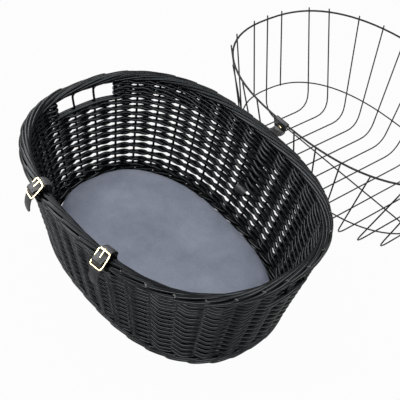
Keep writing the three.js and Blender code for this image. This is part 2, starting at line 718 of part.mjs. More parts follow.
// Strips across the back are drawn in a frame with X out of the basket, Y up and Z along the border
const backFrame = new THREE.Group();
backFrame.quaternion.setFromRotationMatrix(new THREE.Matrix4().makeBasis(
  new THREE.Vector3(0, 1, 0),
  new THREE.Vector3(0, 0, 1),
  new THREE.Vector3(1, 0, 0),
));
basket.add(backFrame);
const lowerStrap = strip(lowerStrapLine(), LEATHER_THICKNESS, HINGE_STRAP_WIDTH);
addMesh(backFrame, 'hinge_strap_lower', lowerStrap, LEATHER);

// Hinge strap, upper part: a fold round the lid's ring, riveted below it, and a flap back to the fold line
function upperStrapSolid() {
  const bore = RING_RADIUS + LEATHER_GAP;
  const { x, y } = RING_OPEN;
  const low = y - HINGE_STRAP_DROP;
  const eye = new THREE.Shape().absarc(x, y, bore + LEATHER_THICKNESS, 0, 2 * Math.PI, false);
  eye.holes.push(new THREE.Path().absarc(x, y, bore, 0, 2 * Math.PI, true));
  const double = new THREE.Shape([
    new THREE.Vector2(x - LEATHER_THICKNESS, low),
    new THREE.Vector2(x + LEATHER_THICKNESS, low),
    new THREE.Vector2(x + LEATHER_THICKNESS, y - bore),
    new THREE.Vector2(x - LEATHER_THICKNESS, y - bore),
  ]);
  const flap = strip([new THREE.Vector2(x, low), FOLD], LEATHER_THICKNESS, HINGE_STRAP_WIDTH);
  const hem = new THREE.Shape().absarc(FOLD.x, FOLD.y, LEATHER_THICKNESS / 2, 0, 2 * Math.PI, false);
  const pieces = [eye, double, hem].map((shape) => toSolid(prism(shape, HINGE_STRAP_WIDTH, 0)));
  return pieces.reduce((solid, piece) => solid.add(piece), toSolid(flap));
}

// Rivet through both layers of the fold
const rivetHeight = RING_OPEN.y - RING_RADIUS - LEATHER_GAP - HINGE_STRAP_DROP / 2;
const placeRivet = (geometry) => geometry.rotateZ(Math.PI / 2).translate(RING_OPEN.x, rivetHeight, 0);

function rivetGeometry() {
  const seat = LEATHER_THICKNESS + SEAT_GAP;
  const top = seat + RIVET_HEAD_HEIGHT;
  const half = [
    [RIVET_SHANK_RADIUS, seat],
    [RIVET_HEAD_RADIUS, seat],
    [RIVET_HEAD_RADIUS - RIVET_EDGE_ROUND, seat + RIVET_EDGE_ROUND],
    [0, top],
  ];
  const lower = half.map(([r, y]) => new THREE.Vector2(r, -y)).reverse();
  const upper = half.map(([r, y]) => new THREE.Vector2(r, y));
  return placeRivet(new THREE.LatheGeometry([...lower, ...upper], RING_SIDES * 2));
}

function rivetHole() {
  const radius = RIVET_SHANK_RADIUS + SEAT_GAP;
  return placeRivet(new THREE.CylinderGeometry(radius, radius, 4 * LEATHER_THICKNESS, RING_SIDES * 2));
}

const upperStrap = toGeometry(upperStrapSolid().subtract(toSolid(rivetHole())));
addMesh(backFrame, 'hinge_strap_upper', upperStrap, LEATHER);
addMesh(backFrame, 'hinge_rivet', rivetGeometry(), BRASS);

// Wire lid, drawn upright with its rim ring at z = 0, then turned over to lie open behind the basket
const lid = new THREE.Group();
lid.position.set(LID_OFFSET_X, RING_OPEN.x + lidSemi.y, RING_OPEN.y);
lid.rotation.x = Math.PI;
basket.add(lid);

const upperSemi = { x: lidSemi.x - UPPER_INSET_X, y: lidSemi.y - UPPER_INSET_Y };
const rimWeld = RING_RADIUS + WIRE_RADIUS + WELD_GAP;
const upperWeld = 2 * WIRE_RADIUS + WELD_GAP;
const rimLegs = { x: lidSemi.x + rimWeld, y: lidSemi.y + rimWeld };
const upperLegs = { x: upperSemi.x + upperWeld, y: upperSemi.y + upperWeld };
const ringSection = (semi, z, r) => roundSection(semi.x, semi.y, z, r, r, RING_SIDES);
addMesh(lid, 'lid_rim_ring', ovalRing(ringSection(lidSemi, 0, RING_RADIUS)), BLACK_WIRE);
addMesh(lid, 'lid_upper_ring', ovalRing(ringSection(upperSemi, UPPER_RING_HEIGHT, WIRE_RADIUS)), BLACK_WIRE);

// Each leg runs straight from a stub below the rim ring, past the upper ring, to a height above it
function alongLeg(rim, upper, height) {
  return rim.clone().lerp(upper, height / UPPER_RING_HEIGHT);
}

// Cross wires: pairs of legs that fan out from evenly spaced flat runs over the top
const endLegX = lidSemi.x - END_LEG_INSET;
const legPitch = (endLegX - END_LEG_STEP) / (WIRE_PAIRS - 1.5);
const topPitch = (endLegX - END_WIRE_LEAN) / (WIRE_PAIRS - 0.5);

function crossWire(index, end) {
  const last = index === WIRE_PAIRS - 1;
  const topX = end * (index + 0.5) * topPitch;
  const rimX = end * (last ? endLegX : (index + 0.5) * legPitch);
  const upperX = THREE.MathUtils.lerp(rimX, topX, UPPER_RING_HEIGHT / LID_DEPTH);
  const rim = new THREE.Vector3(rimX, ovalReach(rimLegs.x, rimLegs.y, rimX), 0);
  const upperY = ovalReach(upperLegs.x, upperLegs.y, upperX);
  const upper = new THREE.Vector3(upperX, upperY, UPPER_RING_HEIGHT);
  const flip = new THREE.Vector3(1, -1, 1);
  const half = [alongLeg(rim, upper, -WIRE_NUB), alongLeg(rim, upper, LID_DEPTH)];
  const other = half.map((p) => p.clone().multiply(flip)).reverse();
  return wire(bentPath([...half, ...other], DOME_FILLET), WIRE_RADIUS, WIRE_SIDES);
}

for (let index = 0; index < WIRE_PAIRS; index += 1) {
  addMesh(lid, `lid_cross_wire_left_${index + 1}`, crossWire(index, -1), BLACK_WIRE);
  addMesh(lid, `lid_cross_wire_right_${index + 1}`, crossWire(index, 1), BLACK_WIRE);
}

// Ridge wire: under the cross wires along the middle, down to the rim at both ends
function ridgeWire() {
  const top = LID_DEPTH - 2 * WIRE_RADIUS - WELD_GAP;
  const rim = new THREE.Vector3(rimLegs.x, 0, 0);
  const upper = new THREE.Vector3(upperLegs.x, 0, UPPER_RING_HEIGHT);
  const flip = new THREE.Vector3(-1, 1, 1);
  const half = [alongLeg(rim, upper, -WIRE_NUB), alongLeg(rim, upper, top)];
  const other = half.map((p) => p.clone().multiply(flip)).reverse();
  return wire(bentPath([...half, ...other], DOME_FILLET), WIRE_RADIUS, WIRE_SIDES);
}
addMesh(lid, 'lid_ridge_wire', ridgeWire(), BLACK_WIRE);

// End wires: short stays between the two rings beside the ridge wire
function endWire(end, side) {
  const y = side * END_WIRE_Y;
  const rim = new THREE.Vector3(end * ovalReach(rimLegs.y, rimLegs.x, y), y, 0);
  const upper = new THREE.Vector3(end * ovalReach(upperLegs.y, upperLegs.x, y), y, UPPER_RING_HEIGHT);
  const line = [alongLeg(rim, upper, -WIRE_NUB), alongLeg(rim, upper, UPPER_RING_HEIGHT + WIRE_NUB)];
  return wire(line, WIRE_RADIUS, WIRE_SIDES);
}
addMesh(lid, 'lid_end_wire_left_front', endWire(-1, 1), BLACK_WIRE);
addMesh(lid, 'lid_end_wire_left_back', endWire(-1, -1), BLACK_WIRE);
addMesh(lid, 'lid_end_wire_right_front', endWire(1, 1), BLACK_WIRE);
addMesh(lid, 'lid_end_wire_right_back', endWire(1, -1), BLACK_WIRE);

export default basket;
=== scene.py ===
"""Looks of the oval willow bicycle basket with a wire lid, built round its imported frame. Metres, +Z up."""
import json
import math

import bpy
import numpy as np
from mathutils import Matrix, Vector


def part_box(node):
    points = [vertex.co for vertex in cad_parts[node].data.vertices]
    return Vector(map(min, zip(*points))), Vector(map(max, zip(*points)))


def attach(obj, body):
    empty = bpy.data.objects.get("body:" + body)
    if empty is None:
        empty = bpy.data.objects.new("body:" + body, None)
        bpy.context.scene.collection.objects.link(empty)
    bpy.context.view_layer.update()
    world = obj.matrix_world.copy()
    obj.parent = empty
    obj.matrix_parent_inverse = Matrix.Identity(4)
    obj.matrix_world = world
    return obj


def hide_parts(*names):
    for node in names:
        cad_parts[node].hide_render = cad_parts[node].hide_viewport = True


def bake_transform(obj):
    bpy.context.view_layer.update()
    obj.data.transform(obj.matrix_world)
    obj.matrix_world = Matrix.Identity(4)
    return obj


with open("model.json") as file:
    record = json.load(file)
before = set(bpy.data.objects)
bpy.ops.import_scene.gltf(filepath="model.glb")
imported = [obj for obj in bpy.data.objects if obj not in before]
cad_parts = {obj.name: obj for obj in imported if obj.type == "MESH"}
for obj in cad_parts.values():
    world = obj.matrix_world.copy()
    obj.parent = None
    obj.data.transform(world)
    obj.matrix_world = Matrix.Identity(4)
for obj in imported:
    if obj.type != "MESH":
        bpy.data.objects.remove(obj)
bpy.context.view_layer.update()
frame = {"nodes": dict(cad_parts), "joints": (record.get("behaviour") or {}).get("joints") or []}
rng = np.random.default_rng(7)
joints = {joint["name"]: joint for joint in frame["joints"]}

# Plan of the basket: a superellipse that widens from the base to the rim, read from the frame
OVAL_POWER = 2.45
BORDER_LOW, BORDER_HIGH = (np.array(corner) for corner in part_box("rim_border"))
WALE_HIGH = np.array(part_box("base_wale")[1])
WALE_SHOULDER = 2 / 3
RIM_SEMI = BORDER_HIGH[:2]
HEIGHT = BORDER_HIGH[2]
SHOULDER = WALE_SHOULDER * WALE_HIGH[2] / HEIGHT
BASE_SEMI = (WALE_HIGH[:2] - RIM_SEMI * SHOULDER) / (1 - SHOULDER)
PLAN_STEPS = 20000
BAY_TABLE_STEPS = 8000

# Handle windows: the stakes that cross them stand on the sills
LEFT_STAKES = ["left_window_stake_1", "left_window_stake_2"]
RIGHT_STAKES = ["right_window_stake_1"]
LEFT_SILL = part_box(LEFT_STAKES[0])[0].z
RIGHT_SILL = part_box(RIGHT_STAKES[0])[0].z

# Rods of the wall, and how they swing from one side of it to the other
ROD_RADIUS = 0.0034
ROD_SIDES = 10
WEAVE_INSET = 0.0095
WEAVE_REACH = 0.0047
ROD_RISE = 0.0033
ROD_LEAN = -0.0020
ROD_BEND = 0.9
TWIST = -1

# Steps between rows and between stakes
ROW_PITCH_TOP = 0.0120
ROW_PITCH_GROWTH = 0.00042
UPPER_ROW_PITCH = 0.0098
STAKE_PITCH = 0.0455
SAMPLES_PER_BAY = 16

# Rows at the windows: loops round the edge stakes, and a sill drawn flat. Loop and ease are in bays
LOOP_REACH = 0.09
LOOP_STEPS = 8
SILL_EASE = 0.3
SILL_REACH = 0.0056
SILL_RISE = 0.0018

# Rows make way for the buckled straps and for the tab of the hinge strap. Widths are in bays
STRAP_JOINTS = {"left": "left_prong_hinge", "right": "right_prong_hinge"}
STRAP_WAY_WIDTH = 0.55
STRAP_WAY_DROP = 0.006
STRAP_WAY_LOW = 0.185
STRAP_WAY_EASE = 0.008
ANCHOR_Z = 0.091
ANCHOR_WAY_WIDTH = 0.5
ANCHOR_WAY_RISE = 0.0025

# Unevenness of the rods, and the tones that tell them apart
ROW_DRIFT = 0.0006
ROW_GIRTH_DRIFT = 0.04
STAKE_GIRTH_DRIFT = 0.03
BORDER_GIRTH_DRIFT = 0.04
BORDER_DRIFT = 0.0003
MAX_TONE = 0.4
PLAIN_TONE = 0.2
TONE_SHIFT = 7.3

# Cut ends: their slant, how many points of the line they take up, and a tone that no bark has
CUT_SLANT = 1.1
CUT_ROOM = 2
CUT_END_TONE = 3.0
CUT_TONE_LIMIT = 2.0

# Border: stakes wind over its inside and its top, and more rods go down its outside. Spans are in bays
BORDER_ROD_RADIUS = 0.0036
BORDER_SKIN = 0.0006
BORDER_RADIUS = (BORDER_HIGH[2] - BORDER_LOW[2]) / 2
BORDER_PATH_RADIUS = BORDER_RADIUS - BORDER_ROD_RADIUS - BORDER_SKIN
BORDER_Z = BORDER_HIGH[2] - BORDER_RADIUS
BORDER_INSET = 0.012
BORDER_FLATNESS = 0.82
STAKE_RADIUS = 0.0023
STAKE_FOOT = 0.003
STAKE_POINTS = 8
INNER_SPAN = 4.6
INNER_TURN = math.radians(228)
INNER_START = math.radians(270)
INNER_FIRST = 0.09
INNER_PACE = 1.1
INNER_POINTS = 16
OUTER_SPAN = 2.7
OUTER_TURN = math.radians(130)
OUTER_LAP = 0.5
OUTER_DROP = math.radians(20)
OUTER_POINTS = 12
START_TUCK = 0.0034
START_TUCK_SHARE = 0.25
END_TUCK = 0.0022
END_TUCK_SHARE = 0.15

# Foot: two rounds of three-rod waling, and one plain round inside that closes it up to the board
WALE_ROD_RADIUS = 0.0032
WALE_ROUNDS = (0.0064, 0.0148)
WALE_REACH = 0.0056
WALE_RISE = 0.0030
WALE_DIP = 0.45
WALE_RODS = 3
WALE_INNER_Z = WALE_ROUNDS[0] - WALE_ROD_RADIUS / 4

# Leather: a section with rounded edges and a crease near each
LEATHER_THICKNESS = 0.002
CREASE_INSET = 0.0024
CREASE_DEPTH = 0.00035
CREASE_WIDTH = 0.0008
EDGE_ROUND = 0.0007

# Buckled straps: a loop round the border, under the frame, over its bar, and a tail with a rounded tip
STRAP_WIDTH = 0.020
STRAP_RADIUS = 0.0148
STRAP_UNDER = 0.0037
STRAP_OVER = 0.0029
STRAP_STEP = 0.003
TAIL_LENGTH = 0.030
TIP_LENGTH = 0.45 * STRAP_WIDTH
TIP_LEAST = 0.02

# The strap's way up the border's inside, by distances out and up from the border's middle
INSIDE_WAY = ((-0.0150, 0.0140), (-0.0095, 0.0205))

# Its way over the bar, by distances down the buckle's slope and off its height there
BAR_WAY = ((-0.0030, 0.0), (0.0040, 0.0030), (0.0095, -0.0006))

# Its tail, by distances out and shares of the tail's length
TAIL_WAY = ((0.0022, 1 / 3), (0.0030, 0.6), (0.0028, 0.8), (0.0026, 0.94), (0.0025, 1.0))

# Buckles: a frame with a bar and a roller, and a prong whose way is by distances down the slope and off it
BUCKLE_REACH = 0.015
FRAME_WIRE = 0.0013
FRAME_GAP = 0.0004
FRAME_CORNER = 0.004
CORNER_STEPS = 6
BAR_RADIUS = 0.95 * FRAME_WIRE
ROLLER_RADIUS = 0.0019
ROLLER_INSET = 0.6 * FRAME_CORNER
ROLLER_SIDES = 14
PRONG_RADIUS = 0.0012
PRONG_TIP_RADIUS = 0.0008
PRONG_TAPER_START = 0.7
PRONG_EYE = FRAME_WIRE + 0.0013
PRONG_REST = ROLLER_RADIUS + 0.0011
PRONG_OVERHANG = 0.003
PRONG_WAY = (
    (0.0004, -PRONG_EYE),
    (PRONG_EYE, 0.0),
    (0.0006, PRONG_EYE),
    (-0.004, PRONG_REST + 0.0004),
    (-0.009, PRONG_REST),
    (-BUCKLE_REACH - PRONG_OVERHANG, PRONG_REST - 0.0002),
)

# Hinge strap: its width, drawn in to a waist beyond the fold, and its distance from the wall and the ring
HINGE_WIDTH = 0.028
HINGE_OFF_WALL = ROD_RADIUS + WEAVE_REACH + 0.0016
HINGE_OFF_RING = 0.0036
HINGE_LAYER = 0.0011
HINGE_PLAIN = 0.95
HINGE_WAIST = 0.92
HINGE_WAIST_START = 0.012
HINGE_WAIST_SHARE = 0.35
HINGE_FLARE = 0.2 / 0.42

# Pad: rings from the board up, by their share of its height and how far they are drawn in
PAD_RINGS = (
    (0.0, 0.010), (0.10, 0.004), (0.30, 0.002), (0.62, 0.002), (0.80, 0.0045), (0.88, 0.010), (0.92, 0.04),
)
PAD_SIDES = 160
PAD_VOXEL = 0.005
PAD_PRESSURE = 4.0
PAD_STIFFNESS = 15
PAD_QUALITY = 4
PAD_FRAMES = 20
PAD_SWELL_LIMIT = 0.005
PAD_CROWN = 0.001

# Smoothed lines: steps for each point that they go through, and the slope past which they count as steep
SMOOTH_STEPS = 6
STRAP_SMOOTH_STEPS = 8
STEEP = 0.8

# Lid: points of a wire that are closer than this are one
WIRE_WELD = 1e-5

# Colours, as linear red, green and blue
WILLOW_DEEP = (0.0008, 0.0009, 0.0012)
WILLOW_LIT = (0.0035, 0.0038, 0.0046)
WILLOW_CUT = (0.30, 0.29, 0.28, 1)
VARNISH_TINT = (0.86, 0.95, 1.0, 1)
PAD_DEEP = (0.165, 0.182, 0.232)
PAD_LIT = (0.235, 0.253, 0.315)
LEATHER_BLACK = (0.011, 0.011, 0.013)
LEATHER_WORN = (0.04, 0.041, 0.047)
BRASS_DULL = (0.58, 0.48, 0.27)
BRASS_BRIGHT = (0.72, 0.62, 0.40)
WIRE_DEEP = (0.008, 0.0084, 0.0094)
WIRE_LIT = (0.018, 0.0186, 0.0205)
BOARD_DEEP = (0.02, 0.017, 0.014)
BOARD_LIT = (0.07, 0.058, 0.046)
FLOOR_GREY = (0.15, 0.15, 0.15, 1)
WHITE = (1, 1, 1, 1)

# Stage: a floor that looks white and keeps a faint shadow, in a white room that lights little
FLOOR_HALF = 6
FLOOR_Z = -0.0004
FLOOR_ROUGHNESS = 0.9
FLOOR_WHITENESS = 0.97
ROOM_LIGHT = 0.02

# Softboxes: place, width and height, power, and whether they light matte surfaces or only show in gloss
LAMP_TARGET = (0, 0, HEIGHT / 2)
LAMPS = {
    "left": ((-0.7, -0.5, 2.0), (1.6, 1.0), 33, True),
    "back": ((0.5, 0.7, 2.1), (1.4, 0.9), 27, True),
    "left_gleam": ((-1.45, -0.05, 1.4), (1.8, 0.6), 52, False),
    "low_gleam": ((-1.15, -1.5, 0.8), (1.8, 0.8), 66, False),
    "front_gleam": ((1.3, -1.25, 0.9), (2.6, 0.7), 112, False),
    "back_gleam": ((0.95, 0.85, 1.5), (1.4, 0.6), 42, False),
}

# Camera, solved from the outlines in the photograph
CAMERA_PLACE = (0.85281, -0.77735, 1.26355)
CAMERA_RIGHT = (0.62080686, 0.7755564, 0.11450381)
CAMERA_UP = (-0.59353592, 0.36955035, 0.7149459)
CAMERA_LENS = 81.0
CAMERA_SENSOR = 36.0


# Lines
def smooth(t):
    """Eases from 0 to 1."""
    t = np.clip(t, 0, 1)
    return t * t * (3 - 2 * t)


def run_along(line):
    """How far along a line each of its points lies."""
    return np.concatenate([[0], np.cumsum(np.linalg.norm(np.diff(line, axis=0), axis=1))])


def directions(line, closed=False):
    """Unit directions along a line."""
    ahead = np.roll(line, -1, 0) if closed else np.vstack([line[1:], 2 * line[-1] - line[-2]])
    behind = np.roll(line, 1, 0) if closed else np.vstack([2 * line[0] - line[1], line[:-1]])
    along = ahead - behind
    return along / np.linalg.norm(along, axis=1)[:, None]


def carried_frames(line, closed):
    """Two directions across a line that turn as little as possible along it."""
    along = directions(line, closed)
    start = np.array([0, 0, 1.0]) if abs(along[0][2]) < STEEP else np.array([1.0, 0, 0])
    side = np.cross(along[0], start)
    across = []
    for direction in along:
        side = side - direction * np.dot(side, direction)
        side = side / np.linalg.norm(side)
        across.append(side)
    across = np.array(across)
    up = np.cross(along, across)
    if closed:
        last = across[-1] - along[0] * np.dot(across[-1], along[0])
        miss = math.atan2(np.dot(last, up[0]), np.dot(last, across[0]))
        twist = -miss * np.arange(len(line)) / len(line)
        c, s = np.cos(twist)[:, None], np.sin(twist)[:, None]
        across, up = across * c + up * s, up * c - across * s
    return across, up


def rounded(points, per_step):
    """A smooth line through the points."""
    points = np.asarray(points, float)
    ends = np.vstack([2 * points[0] - points[1], points, 2 * points[-1] - points[-2]])
    t = np.linspace(0, 1, per_step, endpoint=False)[:, None]
    line = []
    for a, b, c, d in zip(ends[:-3], ends[1:-2], ends[2:-1], ends[3:]):
        bend = (2 * a - 5 * b + 4 * c - d) * t**2
        swerve = (3 * b - a - 3 * c + d) * t**3
        line.append(0.5 * (2 * b + (c - a) * t + bend + swerve))
    return np.vstack(line + [points[-1:]])


# Plan
def shell(z):
    """Half length and half width of the outside of the basket at heights z."""
    share = np.asarray(z, float)[..., None] / HEIGHT
    return BASE_SEMI + (RIM_SEMI - BASE_SEMI) * share


def oval(semi, angle):
    """Points of the plan at these angles, and its outward normals."""
    c, s = np.cos(angle), np.sin(angle)
    power = 2 / OVAL_POWER
    x = semi[..., 0] * np.sign(c) * np.abs(c) ** power
    y = semi[..., 1] * np.sign(s) * np.abs(s) ** power
    nx = np.sign(c) * np.abs(c) ** (power * (OVAL_POWER - 1)) / semi[..., 0]
    ny = np.sign(s) * np.abs(s) ** (power * (OVAL_POWER - 1)) / semi[..., 1]
    size = np.hypot(nx, ny)
    return np.stack([x, y], -1), np.stack([nx / size, ny / size], -1)


def wall_point(angle, z, out=0.0):
    """A point at a height on the middle of the weave, or moved out of it."""
    z = np.broadcast_to(np.asarray(z, float), np.shape(angle))
    place, normal = oval(shell(z) - WEAVE_INSET, angle)
    return np.concatenate([place + normal * np.asarray(out)[..., None], z[..., None]], -1)


def border_point(angle, turn, radius):
    """A point round the border's middle line: turn 0 is outside, a quarter turn is on top."""
    semi = np.broadcast_to(RIM_SEMI - BORDER_INSET, np.shape(angle) + (2,))
    place, normal = oval(semi, angle)
    flat = place + normal * (radius * np.cos(turn))[..., None]
    height = HEIGHT - BORDER_RADIUS * BORDER_FLATNESS + radius * BORDER_FLATNESS * np.sin(turn)
    return np.concatenate([flat, height[..., None]], -1)


def border_middle(angle):
    """A point on the border's middle line."""
    return border_point(angle, np.zeros_like(angle), np.zeros_like(angle))


# Two turns of the plan, from half a turn before its start, with how far round the border each angle lies
PLAN_ANGLES = np.linspace(-math.pi, 3 * math.pi, PLAN_STEPS + 1)
PLAN_RUNS = run_along(border_middle(PLAN_ANGLES))
ROUND_RUN = PLAN_RUNS[-1] / 2


def run_at_end(end, y, z):
    """How far round the border a stake stands that is seen at y in an end window."""
    semi_y = shell(z)[1] - WEAVE_INSET
    angle = math.copysign(math.asin((abs(y) / semi_y) ** (OVAL_POWER / 2)), y)
    return float(np.interp(angle if end > 0 else math.pi - angle, PLAN_ANGLES, PLAN_RUNS))


def middle(node):
    """Middle of a node's box."""
    low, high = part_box(node)
    return (np.array(low) + np.array(high)) / 2


def stake_runs():
    """How far round the border each stake stands, and the edge stakes of the right and the left window.

    The stakes stand at even steps between the windows. Their number is even, so that a pair of rods closes.
    """
    left_y = sorted(middle(node)[1] for node in LEFT_STAKES)
    right_y = middle(RIGHT_STAKES[0])[1]
    step = left_y[1] - left_y[0]
    z = middle(LEFT_STAKES[0])[2]
    right = [run_at_end(1, right_y + i * step, z) for i in (-1, 0, 1)]
    left = [run_at_end(-1, left_y[1] - i * step, z) for i in (-1, 0, 1, 2)]
    back_bays = round((left[0] - right[-1]) / STAKE_PITCH)
    front_bays = round((right[0] + ROUND_RUN - left[-1]) / STAKE_PITCH)
    front_bays += (front_bays + back_bays + len(left) + len(right)) % 2
    runs = np.concatenate([
        right,
        np.linspace(right[-1], left[0], back_bays + 1)[1:],
        left[1:],
        np.linspace(left[-1], right[0] + ROUND_RUN, front_bays + 1)[1:],
    ])
    right_window = (0, len(right) - 1)
    left_window = (right_window[1] + back_bays, right_window[1] + back_bays + len(left) - 1)
    return runs, right_window, left_window


STAKE_RUNS, RIGHT_WINDOW, LEFT_WINDOW = stake_runs()
BAYS = len(STAKE_RUNS) - 1


def angle_at(bay):
    """Plan angle at a bay number, which counts stakes and may lie between them."""
    bay = np.mod(np.asarray(bay, float), BAYS)
    run = np.interp(bay, np.arange(BAYS + 1), STAKE_RUNS)
    return np.interp(run, PLAN_RUNS, PLAN_ANGLES)


def bay_at(x, side):
    """Bay number of a place on the front (side -1) or back (side 1) of the border."""
    bays = np.linspace(0, BAYS, BAY_TABLE_STEPS + 1)
    points = border_middle(angle_at(bays))
    away = np.abs(points[:, 0] - x) + (np.sign(points[:, 1]) != side)
    return float(bays[np.argmin(away)])


STRAP_BAYS = [bay_at(joints[name]["pos_m"][0], -1) for name in STRAP_JOINTS.values()]
ANCHOR_BAY = bay_at(0.0, 1)


# Meshes
class Rods:
    """Round rods gathered into one mesh, with length and girth as UV and a tone for each rod."""

    def __init__(self):
        self.points, self.faces, self.uvs, self.tones = [], [], [], []

    def add(self, line, radius, tone, closed=False, sides=ROD_SIDES, cut=None):
        """A rod along a line. Its last end is cut aslant where cut gives the side that the cut faces."""
        line = np.asarray(line, float)
        radius = np.broadcast_to(np.asarray(radius, float), (len(line),))
        if cut is not None:
            kept = [*range(len(line) - 1 - CUT_ROOM), len(line) - 1]
            line, radius = line[kept], radius[kept]
        across, up = carried_frames(line, closed)
        spin = 2 * math.pi * np.arange(sides) / sides
        rings = (
            line[:, None]
            + across[:, None] * (np.cos(spin)[None, :, None] * radius[:, None, None])
            + up[:, None] * (np.sin(spin)[None, :, None] * radius[:, None, None])
        )
        if cut is not None:
            end = line[-1] - line[-2]
            lean = (rings[-1] - line[-1]) @ cut
            rings[-1] -= CUT_SLANT * lean[:, None] * end / np.linalg.norm(end)
        first = len(self.points)
        self.points.extend(rings.reshape(-1, 3))
        self.tones.extend([tone] * (len(line) * sides))
        along = run_along(np.vstack([line, line[:1]])) + TONE_SHIFT * tone
        for i in range(len(line) if closed else len(line) - 1):
            here, there = first + i * sides, first + (i + 1) % len(line) * sides
            for j in range(sides):
                k = (j + 1) % sides
                self.faces.append((here + j, here + k, there + k, there + j))
                low, high = j / sides, (j + 1) / sides
                self.uvs.extend([(along[i], low), (along[i], high)])
                self.uvs.extend([(along[i + 1], high), (along[i + 1], low)])
        if not closed:
            self.cap(rings[0][::-1], tone)
            self.cap(rings[-1], tone)

    def cap(self, ring, tone):
        """A cut end, paler than the bark."""
        first = len(self.points)
        self.points.extend(ring)
        self.tones.extend([CUT_END_TONE] * len(ring))
        self.faces.append(tuple(range(first, first + len(ring))))
        self.uvs.extend([(tone, 0.5)] * len(ring))

    def build(self, name, material):
        """The rods as one piece."""
        piece = mesh_object(name, self.points, self.faces, material)
        layer = piece.data.uv_layers.new(name="along")
        layer.data.foreach_set("uv", np.asarray(self.uvs, np.float32).ravel())
        attribute = piece.data.attributes.new("tone", "FLOAT", "POINT")
        attribute.data.foreach_set("value", np.asarray(self.tones, np.float32))
        return piece


def swept_faces(rings, count):
    """Faces of a closed form: quads from ring to ring, and one face over each end."""
    faces = []
    for i in range(rings - 1):
        for j in range(count):
            k = (j + 1) % count
            faces.append((i * count + j, i * count + k, (i + 1) * count + k, (i + 1) * count + j))
    faces.append(tuple(range(count))[::-1])
    faces.append(tuple((rings - 1) * count + j for j in range(count)))
    return faces


def mesh_object(name, points, faces, material, shade=True):
    """A piece with one material, smooth on its quads unless shade is False."""
    mesh = bpy.data.meshes.new(name)
    mesh.from_pydata([tuple(p) for p in points], [], [tuple(f) for f in faces])
    mesh.polygons.foreach_set("use_smooth", [shade and len(p.vertices) == 4 for p in mesh.polygons])
    mesh.materials.append(material)
    piece = bpy.data.objects.new(name, mesh)
    bpy.context.scene.collection.objects.link(piece)
    return piece


def bake(piece):
    """Applies the piece's modifiers."""
    graph = bpy.context.evaluated_depsgraph_get()
    mesh = bpy.data.meshes.new_from_object(piece.evaluated_get(graph))
    piece.modifiers.clear()
    piece.data = mesh


def settle(piece, body, slot, *nodes):
    """The piece rides a body and stands for nodes, which are hidden. Its slot is not used."""
    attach(piece, body)
    if nodes:
        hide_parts(*nodes)


# Materials
def grey(level):
    return (level, level, level)


class Finish:
    """A material, with the kinds of node that the finishes here are made of."""

    def __init__(self, name):
        self.material = bpy.data.materials.new(name)
        self.material.use_nodes = True
        self.nodes = self.material.node_tree.nodes
        self.links = self.material.node_tree.links
        self.shader = self.nodes["Principled BSDF"]

    def give(self, socket, value):
        """Links a socket to an output, or sets it to a number or a colour."""
        if isinstance(value, bpy.types.NodeSocket):
            self.links.new(value, socket)
        else:
            socket.default_value = value

    def put(self, name, value):
        """Gives one of the shader's own sockets a value."""
        self.give(self.shader.inputs[name], value)

    def place(self):
        """The place on the piece."""
        return self.nodes.new("ShaderNodeTexCoord").outputs["Object"]

    def ramp(self, source, low, high, start=0.3, end=0.7):
        """A colour that goes from low to high as the source goes from start to end."""
        node = self.nodes.new("ShaderNodeValToRGB")
        for number, (place, colour) in enumerate(((start, low), (end, high))):
            node.color_ramp.elements[number].position = place
            node.color_ramp.elements[number].color = (*colour, 1)
        self.give(node.inputs["Fac"], source)
        return node.outputs["Color"]

    def noise(self, vector, scale, detail=3.0, rough=0.5):
        node = self.nodes.new("ShaderNodeTexNoise")
        for name, value in (("Vector", vector), ("Scale", scale), ("Detail", detail), ("Roughness", rough)):
            self.give(node.inputs[name], value)
        return node.outputs["Fac"]

    def stretched(self, vector, scale):
        node = self.nodes.new("ShaderNodeMapping")
        self.give(node.inputs["Scale"], scale)
        self.give(node.inputs["Vector"], vector)
        return node.outputs["Vector"]

    def bump(self, height, strength, distance):
        node = self.nodes.new("ShaderNodeBump")
        for name, value in (("Strength", strength), ("Distance", distance), ("Height", height)):
            self.give(node.inputs[name], value)
        return node.outputs["Normal"]

    def mixed(self, blend, factor, first, second):
        """Two colours mixed."""
        node = self.nodes.new("ShaderNodeMix")
        node.data_type = "RGBA"
        node.blend_type = blend
        sockets = {socket.name: socket for socket in node.inputs if socket.enabled}
        for name, value in (("Factor", factor), ("A", first), ("B", second)):
            self.give(sockets[name], value)
        return next(socket for socket in node.outputs if socket.enabled)


def willow_material():
    """Black stained willow under varnish: streaks along the rod and paler cut ends."""
    finish = Finish("willow")
    uv = finish.nodes.new("ShaderNodeUVMap")
    uv.uv_map = "along"
    attribute = finish.nodes.new("ShaderNodeAttribute")
    attribute.attribute_name = "tone"
    tone = attribute.outputs["Fac"]
    streak = finish.noise(finish.stretched(uv.outputs["UV"], (60, 5, 1)), 1.0, 5.0)
    knots = finish.noise(finish.stretched(uv.outputs["UV"], (9, 1, 1)), 1.0, 2.0)
    stain = finish.ramp(streak, WILLOW_DEEP, WILLOW_LIT, end=0.75)
    knotted = finish.mixed("MULTIPLY", 0.6, stain, finish.ramp(knots, grey(0.5), grey(1)))
    toned = finish.mixed("MULTIPLY", 1.0, knotted, finish.ramp(tone, grey(0.65), grey(1), 0.0, 0.35))
    cut = finish.nodes.new("ShaderNodeMath")
    cut.operation = "GREATER_THAN"
    finish.give(cut.inputs[0], tone)
    finish.give(cut.inputs[1], CUT_TONE_LIMIT)
    finish.put("Base Color", finish.mixed("MIX", cut.outputs[0], toned, WILLOW_CUT))
    finish.put("Roughness", finish.ramp(streak, grey(0.28), grey(0.18), end=0.8))
    finish.put("Specular IOR Level", 0.11)
    finish.put("Specular Tint", VARNISH_TINT)
    finish.put("Normal", finish.bump(streak, 0.35, 0.0006))
    return finish.material


